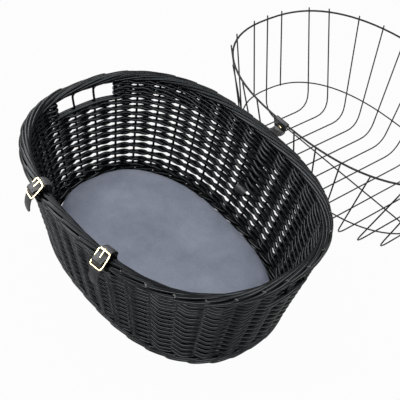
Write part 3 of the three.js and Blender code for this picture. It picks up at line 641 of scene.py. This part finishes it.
def pad_material():
    """Matte bluish grey felted cloth, cloudy at two scales, with a short nap."""
    finish = Finish("pad_cloth")
    place = finish.place()
    cloud = finish.noise(place, 16.0, 4.0, 0.6)
    fleck = finish.noise(place, 700.0, 2.0)
    base = finish.ramp(cloud, PAD_DEEP, PAD_LIT)
    finish.put("Base Color", finish.mixed("MULTIPLY", 1.0, base, finish.ramp(fleck, grey(0.82), grey(1.1))))
    finish.put("Roughness", 0.95)
    finish.put("Specular IOR Level", 0.03)
    finish.put("Sheen Weight", 0.05)
    finish.put("Sheen Roughness", 0.5)
    finish.put("Normal", finish.bump(fleck, 0.5, 0.0008))
    return finish.material


def leather_material():
    """Black strap leather with a fine pebbled grain and worn, greyer patches."""
    finish = Finish("leather")
    place = finish.place()
    grain = finish.nodes.new("ShaderNodeTexVoronoi")
    finish.give(grain.inputs["Scale"], 1100.0)
    finish.give(grain.inputs["Vector"], place)
    wear = finish.noise(place, 90.0, 4.0, 0.6)
    finish.put("Base Color", finish.ramp(wear, LEATHER_BLACK, LEATHER_WORN, 0.35, 0.75))
    finish.put("Roughness", finish.ramp(wear, grey(0.4), grey(0.55)))
    finish.put("Specular IOR Level", 0.25)
    finish.put("Normal", finish.bump(grain.outputs["Distance"], 0.25, 0.0004))
    return finish.material


def brass_material():
    """Pale polished brass, slightly clouded by handling."""
    finish = Finish("brass")
    haze = finish.noise(finish.place(), 260.0)
    finish.put("Base Color", finish.ramp(haze, BRASS_DULL, BRASS_BRIGHT))
    finish.put("Roughness", finish.ramp(haze, grey(0.2), grey(0.34)))
    finish.put("Metallic", 1.0)
    return finish.material


def wire_material():
    """Satin black coating on steel wire, with a faint orange-peel surface."""
    finish = Finish("black_wire")
    place = finish.place()
    coat = finish.noise(place, 900.0, 2.0)
    drift = finish.noise(place, 25.0, 2.0)
    finish.put("Base Color", finish.ramp(drift, WIRE_DEEP, WIRE_LIT))
    finish.put("Roughness", finish.ramp(coat, grey(0.34), grey(0.46)))
    finish.put("Specular IOR Level", 0.08)
    finish.put("Normal", finish.bump(coat, 0.15, 0.0002))
    return finish.material


def board_material():
    """Dark stained plywood, grain along the basket."""
    finish = Finish("board")
    grain = finish.noise(finish.stretched(finish.place(), (6, 90, 90)), 1.0, 6.0, 0.6)
    finish.put("Base Color", finish.ramp(grain, BOARD_DEEP, BOARD_LIT))
    finish.put("Roughness", finish.ramp(grain, grey(0.75), grey(0.55)))
    finish.put("Normal", finish.bump(grain, 0.3, 0.0005))
    return finish.material


WILLOW = willow_material()
PAD_CLOTH = pad_material()
LEATHER = leather_material()
BRASS = brass_material()
WIRE = wire_material()
BOARD = board_material()


# Wall: pairs of rods twisted round the stakes, half a turn for each bay
def rod_tone():
    return rng.uniform(0, MAX_TONE)


def uneven(bays, size):
    """A slow random drift along a row, new for each call."""
    values = rng.normal(0, size, BAYS)
    return np.interp(np.mod(bays, BAYS), np.arange(BAYS + 1), np.append(values, values[0]))


def pushed(bays, z):
    """How far a row is moved up or down to let a strap through."""
    move = np.zeros_like(bays)
    for bay in STRAP_BAYS:
        near = np.exp(-(((bays - bay) / STRAP_WAY_WIDTH) ** 2))
        move -= near * STRAP_WAY_DROP * smooth((z - STRAP_WAY_LOW) / STRAP_WAY_EASE)
    near = np.exp(-(((np.mod(bays, BAYS) - ANCHOR_BAY) / ANCHOR_WAY_WIDTH) ** 2))
    gap = z - ANCHOR_Z
    return move + near * np.sign(gap) * ANCHOR_WAY_RISE * (abs(gap) < ROW_PITCH_TOP)


def strand(bays, z, side, drift, sill):
    """One rod of a pair, which swings in and out past the stakes and lies flat along a window's sill."""
    turn = math.pi * bays
    swing = np.arcsin(ROD_BEND * np.cos(turn)) / math.asin(ROD_BEND)
    out = side * WEAVE_REACH * swing
    rise = side * (ROD_LEAN * swing + TWIST * ROD_RISE * np.sin(turn) ** 3)
    if sill is not None:
        first, last = sill
        entered = smooth((bays - first + SILL_EASE) / SILL_EASE)
        inside = entered * smooth((last - bays + SILL_EASE) / SILL_EASE)
        outer = side * math.cos(math.pi * first)
        out = out + inside * (outer * SILL_REACH - out)
        rise = rise * (1 - inside) - inside * outer * SILL_RISE
    return wall_point(angle_at(bays), z + rise + drift + pushed(bays, z), out)


def turn_back(stake, start, z, ahead):
    """A rod's way round a window's edge stake, from one side of the wall to the other."""
    spin = np.linspace(0, math.pi, LOOP_STEPS + 1)[1:-1]
    out = start * np.cos(spin)
    on = stake + ahead * LOOP_REACH * np.sin(spin)
    return wall_point(angle_at(on), np.full_like(spin, z), out)


def bay_steps(first, last):
    """Bay numbers in even steps."""
    return np.linspace(first, last, int(round((last - first) * SAMPLES_PER_BAY)) + 1)


def add_row(rods, z, spans, sill):
    """One row: a pair of rods all round, closed unless it has a sill, or a loop between two windows."""
    for first, last in spans:
        bays = bay_steps(first, last)
        drift = uneven(bays, ROW_DRIFT)
        tone = rod_tone()
        radius = ROD_RADIUS * (1 + uneven(bays, ROW_GIRTH_DRIFT))
        there, back = (strand(bays, z, side, drift, sill) for side in (1, -1))
        if last - first < BAYS:
            far = turn_back(last, WEAVE_REACH * math.cos(math.pi * last), z, 1)
            near = turn_back(first, -WEAVE_REACH * math.cos(math.pi * first), z, -1)
            rods.add(np.vstack([there, far, back[::-1], near]), ROD_RADIUS, tone, closed=True)
        elif sill is None:
            rods.add(there[:-1], radius[:-1], tone, closed=True)
            rods.add(back[:-1], radius[:-1], rod_tone(), closed=True)
        else:
            rods.add(there, radius, tone)
            rods.add(back, radius, rod_tone())


def row_heights():
    """Rows packed tight beside the windows, then wider and wider apart down to the foot."""
    sill_row = LEFT_SILL - ROD_RADIUS
    rows = [sill_row]
    while rows[-1] > WALE_HIGH[2] + ROD_RADIUS:
        rows.append(rows[-1] - ROW_PITCH_TOP - ROW_PITCH_GROWTH * (len(rows) - 1))
    rows[-1] = WALE_HIGH[2] + ROD_RADIUS
    top_row = BORDER_LOW[2] - ROD_RADIUS / 2
    steps = round((top_row - sill_row) / UPPER_ROW_PITCH)
    above = np.linspace(sill_row, top_row, steps + 1)[1:]
    return sorted([*rows, *above])


def make_rows():
    for number, z in enumerate(row_heights(), 1):
        stops_left = z > LEFT_SILL
        stops_right = z > RIGHT_SILL
        spans = [(0, BAYS)]
        if stops_left and stops_right:
            spans = [(RIGHT_WINDOW[1], LEFT_WINDOW[0]), (LEFT_WINDOW[1], BAYS)]
        elif stops_right:
            spans = [(RIGHT_WINDOW[1], BAYS)]
        sill = None
        if 0 < LEFT_SILL - z < UPPER_ROW_PITCH:
            sill = LEFT_WINDOW
        elif 0 < RIGHT_SILL - z < UPPER_ROW_PITCH:
            sill = RIGHT_WINDOW
        rods = Rods()
        add_row(rods, z, spans, sill)
        row = rods.build(f"weave_row_{number:02d}", WILLOW)
        settle(row, "basket", "willow", "wall_weave")


# Stakes: each rises through the wall, thickens, and winds along the border over its inside and its top
def stake_line(bay):
    """The way of a stake, its radius along it, and the side that its cut end faces."""
    heights = np.linspace(STAKE_FOOT, BORDER_LOW[2] + STAKE_RADIUS, STAKE_POINTS)
    rise = wall_point(np.full_like(heights, angle_at(bay)), heights)
    t = np.linspace(INNER_FIRST, 1, INNER_POINTS)
    path = np.full_like(t, BORDER_PATH_RADIUS) + rng.normal(0, BORDER_DRIFT)
    angles = angle_at(bay - INNER_SPAN * t**INNER_PACE)
    over = border_point(angles, INNER_START - INNER_TURN * t, path)
    line = rounded(np.vstack([rise, over]), SMOOTH_STEPS)
    growth = smooth((line[:, 2] - BORDER_LOW[2]) / BORDER_ROD_RADIUS)
    radius = STAKE_RADIUS + (BORDER_ROD_RADIUS - STAKE_RADIUS) * growth
    face = over[-1] - border_middle(angles)[-1]
    return line, radius, face / np.linalg.norm(face)


def outer_border_line(bay):
    """A rod that starts under the end of a stake's rod and winds on down the border's outside."""
    t = np.linspace(0, 1, OUTER_POINTS)
    start = INNER_START - INNER_TURN - OUTER_DROP + INNER_TURN * OUTER_LAP / INNER_SPAN
    start_tuck = START_TUCK * (1 - smooth(t / START_TUCK_SHARE))
    end_tuck = END_TUCK * smooth((t - (1 - END_TUCK_SHARE)) / END_TUCK_SHARE)
    path = BORDER_PATH_RADIUS + rng.normal(0, BORDER_DRIFT) - (start_tuck + end_tuck)
    bays = bay - INNER_SPAN + OUTER_LAP - OUTER_SPAN * t
    return rounded(border_point(angle_at(bays), start - OUTER_TURN * t, path), SMOOTH_STEPS)


def make_stakes():
    window = {
        RIGHT_WINDOW[0] + 1: RIGHT_STAKES[0],
        LEFT_WINDOW[0] + 1: LEFT_STAKES[1],
        LEFT_WINDOW[0] + 2: LEFT_STAKES[0],
    }
    plain = Rods()
    border = Rods()
    for bay in range(BAYS):
        rods = Rods() if bay in window else plain
        line, radius, face = stake_line(bay)
        rods.add(line, radius * (1 + rng.normal(0, STAKE_GIRTH_DRIFT)), rod_tone(), cut=face)
        if bay in window:
            rod = rods.build(window[bay] + "_rod", WILLOW)
            settle(rod, "basket", "willow", window[bay])
        outer = outer_border_line(bay)
        border.add(outer, BORDER_ROD_RADIUS * (1 + rng.normal(0, BORDER_GIRTH_DRIFT)), rod_tone())
    settle(plain.build("wall_stakes", WILLOW), "basket", "willow", "rim_border")
    settle(border.build("border_rods", WILLOW), "basket", "willow", "rim_border")


# Foot
def make_wale():
    rods = Rods()
    bays = bay_steps(0, BAYS)[:-1]
    for z in WALE_ROUNDS:
        for number in range(WALE_RODS):
            turn = 2 * math.pi * (bays / WALE_RODS + number / WALE_RODS)
            out = WALE_REACH * (1 - 2 * smooth((WALE_DIP - np.cos(turn)) / (1 + WALE_DIP)))
            line = wall_point(angle_at(bays), z - TWIST * WALE_RISE * np.sin(turn), out)
            rods.add(line, WALE_ROD_RADIUS, rod_tone(), closed=True)
    inner = wall_point(angle_at(bays), WALE_INNER_Z, -WALE_REACH)
    rods.add(inner, WALE_ROD_RADIUS, PLAIN_TONE, closed=True)
    settle(rods.build("foot_wale_rods", WILLOW), "basket", "willow", "base_wale")


# Leather
def band_section(width):
    """Outline across a strip: (across, thickness) pairs, counter-clockwise."""
    half, thick = width / 2, LEATHER_THICKNESS / 2
    crease = half - CREASE_INSET
    marks = [
        (half, thick - 2 * EDGE_ROUND),
        (half - EDGE_ROUND * 0.3, thick - EDGE_ROUND * 0.5),
        (half - EDGE_ROUND, thick),
        (crease + CREASE_WIDTH, thick),
        (crease, thick - CREASE_DEPTH),
        (crease - CREASE_WIDTH, thick),
    ]
    top = marks + [(-w, t) for w, t in marks[::-1]]
    bottom = [(w, -t) for w, t in top if abs(w) > half - 2 * EDGE_ROUND][::-1]
    return top + bottom


def leather_band(name, line, width, place, narrow):
    """A strip swept along a flat line. narrow is its share of the width at each point of the line.

    place maps a point of the line's plane, and a distance across the strip, to space.
    """
    along = directions(line)
    lift = np.stack([-along[:, 1], along[:, 0]], 1)
    section = band_section(width)
    points = []
    for spot, off, share in zip(line, lift, narrow):
        points.extend(place(spot + off * t, w * share) for w, t in section)
    return mesh_object(name, points, swept_faces(len(line), len(section)), LEATHER)


class StrapPlace:
    """Where a strap goes round the border, found from the hinge of its prong above the border."""

    def __init__(self, joint):
        pivot = np.array(joint["pos_m"])
        rise = pivot[2] - BORDER_Z
        self.along = -np.array(joint["axis"])
        self.up = np.array([0, 0, 1.0])
        self.out = np.cross(self.up, self.along)
        self.origin = pivot - (self.out + self.up) * rise
        self.lift = rise * math.sqrt(2)

    def at(self, flat, across):
        """A point by its distances out and up from the border's middle line, and along that line."""
        return self.origin + self.out * flat[0] + self.up * flat[1] + self.along * across


def slanted(down, lift):
    """A point of the strap's plane by the buckle's slope: down along it, and off the border's middle."""
    c = math.sqrt(0.5)
    return np.array([(lift + down) * c, (lift - down) * c])


def strap_line(lift):
    """The strap's way, from its hidden end under the tail, round the border and through the buckle."""
    under = lift - STRAP_UNDER
    over = lift + STRAP_OVER
    turns = np.radians(np.arange(20, -201, -20))
    loop = [STRAP_RADIUS * np.array([math.cos(a), math.sin(a)]) for a in turns]
    inside = [np.array(point) for point in INSIDE_WAY]
    entry = [slanted(-BUCKLE_REACH - STRAP_STEP, under), slanted(STRAP_STEP - BUCKLE_REACH, under)]
    bar = [slanted(down, over + off) for down, off in BAR_WAY]
    low = slanted(BUCKLE_REACH + STRAP_STEP, under)
    leave = [slanted(BUCKLE_REACH - STRAP_STEP / 2, under), low]
    tail = [low + np.array([off, -share * TAIL_LENGTH]) for off, share in TAIL_WAY]
    return rounded(loop + inside + entry + bar + leave + tail, STRAP_SMOOTH_STEPS)


def make_strap(side):
    spot = StrapPlace(joints[STRAP_JOINTS[side]])
    line = strap_line(spot.lift)
    run = run_along(line)
    tip = np.clip((run - (run[-1] - TIP_LENGTH)) / TIP_LENGTH, 0, 1)
    narrow = np.sqrt(np.maximum(1 - tip**2, TIP_LEAST))
    strap = leather_band(f"{side}_strap_leather", line, STRAP_WIDTH, spot.at, narrow)
    settle(strap, "basket", "leather", f"{side}_strap")
    make_buckle(side, spot)
    make_prong(side, spot)


def make_buckle(side, spot):
    """A frame with rounded corners, a centre bar, and a roller on its upper end."""
    half = STRAP_WIDTH / 2 + FRAME_GAP + FRAME_WIRE

    def at(down, across):
        return spot.at(slanted(down, spot.lift), across)

    outline = []
    for end, edge in ((1, 1), (-1, 1), (-1, -1), (1, -1)):
        for i in range(CORNER_STEPS + 1):
            angle = math.atan2(edge, end) - math.pi / 4 + math.pi / 2 * i / CORNER_STEPS
            down = end * (BUCKLE_REACH - FRAME_CORNER) + FRAME_CORNER * math.cos(angle)
            across = edge * (half - FRAME_CORNER) + FRAME_CORNER * math.sin(angle)
            outline.append(at(down, across))
    roller = half - ROLLER_INSET
    metal = Rods()
    metal.add(outline, FRAME_WIRE, PLAIN_TONE, closed=True)
    metal.add([at(0, -half), at(0, half)], BAR_RADIUS, PLAIN_TONE)
    metal.add(
        [at(-BUCKLE_REACH, -roller), at(-BUCKLE_REACH, roller)], ROLLER_RADIUS, PLAIN_TONE, sides=ROLLER_SIDES
    )
    buckle = metal.build(f"{side}_buckle_metal", BRASS)
    settle(buckle, "basket", "brass", f"{side}_buckle_frame")


def make_prong(side, spot):
    """A pin that hooks round the centre bar, rests on the roller and tapers to its tip."""
    way = [spot.at(slanted(down, spot.lift + off), 0) for down, off in PRONG_WAY]
    line = rounded(way, SMOOTH_STEPS)
    marks = [0, len(line) * PRONG_TAPER_START, len(line) - 1]
    taper = np.interp(np.arange(len(line)), marks, [PRONG_RADIUS, PRONG_RADIUS, PRONG_TIP_RADIUS])
    pin = Rods()
    pin.add(line, taper, PLAIN_TONE)
    prong = pin.build(f"{side}_prong_pin", BRASS)
    settle(prong, f"{side}_prong", "brass", f"{side}_buckle_prong")


# Hinge strap: a tab inside the wall, up the outside, over the fold line and round the lid's ring
def hinge_line(fold_y, fold_z, ring_y, ring_z):
    """The strap's way in the plane of Y and Z."""

    def wall(rise, out):
        z = ANCHOR_Z + rise
        return np.array([shell(z)[1] - WEAVE_INSET + out, z])

    tab = [wall(-0.008, -HINGE_OFF_WALL), wall(-0.001, 0.0004 - HINGE_OFF_WALL)]
    through = [wall(0.0022, 0.003 - HINGE_OFF_WALL), wall(0.0024, 0.0), wall(0.003, HINGE_OFF_WALL - 0.003)]
    climb = [wall(rise, HINGE_OFF_WALL) for rise in (0.008, 0.045, 0.085)]
    fold = np.array([fold_y, fold_z])
    under_ring = np.array([ring_y, fold_z])
    ring = np.array([ring_y, ring_z])
    turns = np.radians((75, 130, 180, 230, 285))
    bend = [fold + step for step in ((-0.0006, -0.012), (0.0004, -0.004), (0.005, -0.0006))]
    rise = [under_ring + step for step in ((-0.008, -0.0024), (-0.0015, 0.0006), (HINGE_LAYER, 0.006))]
    outer = [ring + step for step in ((HINGE_LAYER, -0.008), (0.0025, -0.0035))]
    loop = [ring + HINGE_OFF_RING * np.array([math.sin(a), -math.cos(a)]) for a in turns]
    inner = [ring + step for step in ((-0.0025, -0.0035), (-HINGE_LAYER, -0.008), (-HINGE_LAYER, -0.0185))]
    return rounded(tab + through + climb + bend + rise + outer + loop + inner, SMOOTH_STEPS)


def make_hinge_strap():
    fold_y, fold_z = joints["strap_fold"]["pos_m"][1:]
    ring_y, ring_z = joints["lid_turn"]["pos_m"][1:]
    line = hinge_line(fold_y, fold_z, ring_y, ring_z)
    up_share = np.clip((line[:, 1] - fold_z) / (ring_z - fold_z), 0, 1)
    waisted = HINGE_WAIST + HINGE_FLARE * (up_share - HINGE_WAIST_SHARE) ** 2
    narrow = np.where(line[:, 0] > fold_y + HINGE_WAIST_START, waisted, HINGE_PLAIN)

    def place(flat, across):
        return np.array([across, flat[0], flat[1]])

    strap = leather_band("hinge_strap_leather", line, HINGE_WIDTH, place, narrow)
    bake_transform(strap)
    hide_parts("hinge_strap_lower", "hinge_strap_upper")


# Lid and rivet: the frame's own solids, with their facets welded and shaded smooth
def smooth_wires():
    group = bpy.data.node_groups.new("round_wire", "GeometryNodeTree")
    group.interface.new_socket("Geometry", in_out="INPUT", socket_type="NodeSocketGeometry")
    group.interface.new_socket("Geometry", in_out="OUTPUT", socket_type="NodeSocketGeometry")
    nodes, links = group.nodes, group.links
    start, end = nodes.new("NodeGroupInput"), nodes.new("NodeGroupOutput")
    weld = nodes.new("GeometryNodeMergeByDistance")
    weld.inputs["Distance"].default_value = WIRE_WELD
    shade = nodes.new("GeometryNodeSetShadeSmooth")
    links.new(start.outputs[0], weld.inputs["Geometry"])
    links.new(weld.outputs["Geometry"], shade.inputs["Geometry"])
    links.new(shade.outputs["Geometry"], end.inputs[0])
    return group


def dress(node, material):
    """Gives one of the frame's own solids a material."""
    node.data.materials.clear()
    node.data.materials.append(material)


def make_lid():
    group = smooth_wires()
    for name, node in frame["nodes"].items():
        if name.startswith("lid_") or name == "hinge_rivet":
            modifier = node.modifiers.new("round_wire", "NODES")
            modifier.node_group = group
            dress(node, BRASS if name == "hinge_rivet" else WIRE)


# Pad: a crowned cushion blown up a little by a cloth simulation
def make_pad():
    low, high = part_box("floor_pad")
    thick = high.z - low.z
    semi = np.array([high.x, high.y])
    angles = 2 * math.pi * np.arange(PAD_SIDES) / PAD_SIDES
    points = []
    for share, inset in PAD_RINGS:
        place, _ = oval(np.broadcast_to(semi - inset, (PAD_SIDES, 2)), angles)
        points.extend(np.column_stack([place, np.full(PAD_SIDES, low.z + share * thick)]))
    pad = mesh_object("floor_pad_cushion", points, swept_faces(len(PAD_RINGS), PAD_SIDES), PAD_CLOTH)
    remesh = pad.modifiers.new("even", "REMESH")
    remesh.mode = "VOXEL"
    remesh.voxel_size = PAD_VOXEL
    bake(pad)
    puff(pad, low.z, high.z)
    subdivide = pad.modifiers.new("fine", "SUBSURF")
    subdivide.levels = subdivide.render_levels = 1
    bake(pad)
    pad.data.polygons.foreach_set("use_smooth", [True] * len(pad.data.polygons))
    settle(pad, "pad", "pad_cloth", "floor_pad")


def puff(pad, floor, top):
    """Blows the pad up by cloth pressure, but keeps it on its board, under its crown and near its form."""
    scene = bpy.context.scene
    before = np.array([v.co for v in pad.data.vertices])
    cloth = pad.modifiers.new("cloth", "CLOTH")
    cloth.settings.use_pressure = True
    cloth.settings.uniform_pressure_force = PAD_PRESSURE
    cloth.settings.effector_weights.gravity = 0.0
    cloth.settings.quality = PAD_QUALITY
    cloth.settings.tension_stiffness = cloth.settings.compression_stiffness = PAD_STIFFNESS
    cloth.point_cache.frame_start, cloth.point_cache.frame_end = 1, PAD_FRAMES
    for number in range(1, PAD_FRAMES + 1):
        scene.frame_set(number)
    bake(pad)
    scene.frame_set(1)
    after = np.array([v.co for v in pad.data.vertices])
    move = after - before
    size = np.linalg.norm(move, axis=1)[:, None]
    after = before + move * np.minimum(1, PAD_SWELL_LIMIT / np.maximum(size, 1e-9))
    after[:, 2] = np.clip(after[:, 2], floor, top + PAD_CROWN)
    pad.data.vertices.foreach_set("co", after.astype(np.float32).ravel())
    pad.data.update()


# Stage, light and camera
def background_rays(tree):
    """1 for rays that should find a white background: from the camera, a mirror or glass."""
    path = tree.nodes.new("ShaderNodeLightPath")
    total = path.outputs["Is Camera Ray"]
    for kind in ("Is Glossy Ray", "Is Transmission Ray"):
        add = tree.nodes.new("ShaderNodeMath")
        add.operation = "ADD"
        add.use_clamp = True
        tree.links.new(total, add.inputs[0])
        tree.links.new(path.outputs[kind], add.inputs[1])
        total = add.outputs[0]
    return total


def show_mix(tree, output, share, first, second):
    """Feeds a tree's output node with two shaders, the second by its share."""
    blend = tree.nodes.new("ShaderNodeMixShader")
    for socket, source in zip(blend.inputs, (share, first, second)):
        tree.links.new(source, socket)
    tree.links.new(blend.outputs[0], tree.nodes[output].inputs["Surface"])


def make_stage():
    finish = Finish("floor")
    finish.put("Base Color", FLOOR_GREY)
    finish.put("Roughness", FLOOR_ROUGHNESS)
    tree = finish.material.node_tree
    glow = finish.nodes.new("ShaderNodeEmission")
    finish.give(glow.inputs["Strength"], 1.0)
    seen = finish.nodes.new("ShaderNodeMath")
    seen.operation = "MULTIPLY"
    finish.give(seen.inputs[0], background_rays(tree))
    finish.give(seen.inputs[1], FLOOR_WHITENESS)
    show_mix(tree, "Material Output", seen.outputs[0], finish.shader.outputs[0], glow.outputs[0])
    corners = ((-1, -1), (1, -1), (1, 1), (-1, 1))
    points = [(x * FLOOR_HALF, y * FLOOR_HALF, FLOOR_Z) for x, y in corners]
    floor = mesh_object("floor", points, [(0, 1, 2, 3)], finish.material, shade=False)


def make_world():
    world = bpy.data.worlds.new("studio")
    bpy.context.scene.world = world
    world.use_nodes = True
    tree = world.node_tree
    light = tree.nodes["Background"]
    white = tree.nodes.new("ShaderNodeBackground")
    for background, strength in ((light, ROOM_LIGHT), (white, 1.0)):
        background.inputs["Color"].default_value = WHITE
        background.inputs["Strength"].default_value = strength
    show_mix(tree, "World Output", background_rays(tree), light.outputs[0], white.outputs[0])


def add_lamp(name, place, size, power, matte):
    """A softbox that faces the basket, by width and height. With matte False it only shows in gloss."""
    data = bpy.data.lights.new(name, "AREA")
    data.shape = "RECTANGLE"
    data.size, data.size_y = size
    data.energy = power
    lamp = bpy.data.objects.new(name, data)
    lamp.location = place
    lamp.rotation_euler = (Vector(LAMP_TARGET) - Vector(place)).to_track_quat("-Z", "Y").to_euler()
    lamp.visible_diffuse = matte
    bpy.context.scene.collection.objects.link(lamp)


def make_camera():
    right, up = Vector(CAMERA_RIGHT), Vector(CAMERA_UP)
    back = right.cross(up)
    data = bpy.data.cameras.new("camera")
    data.lens = CAMERA_LENS
    data.sensor_width = CAMERA_SENSOR
    camera = bpy.data.objects.new("camera", data)
    camera.matrix_world = Matrix((
        (right.x, up.x, back.x, CAMERA_PLACE[0]),
        (right.y, up.y, back.y, CAMERA_PLACE[1]),
        (right.z, up.z, back.z, CAMERA_PLACE[2]),
        (0, 0, 0, 1),
    ))
    bpy.context.scene.collection.objects.link(camera)
    bpy.context.scene.camera = camera


make_camera()
make_stage()
make_world()
for lamp_name, lamp_values in LAMPS.items():
    add_lamp(lamp_name, *lamp_values)
make_rows()
make_stakes()
make_wale()
for strap_side in STRAP_JOINTS:
    make_strap(strap_side)
make_hinge_strap()
make_lid()
make_pad()
dress(frame["nodes"]["base_board"], BOARD)
bpy.context.scene.view_settings.view_transform = "Standard"
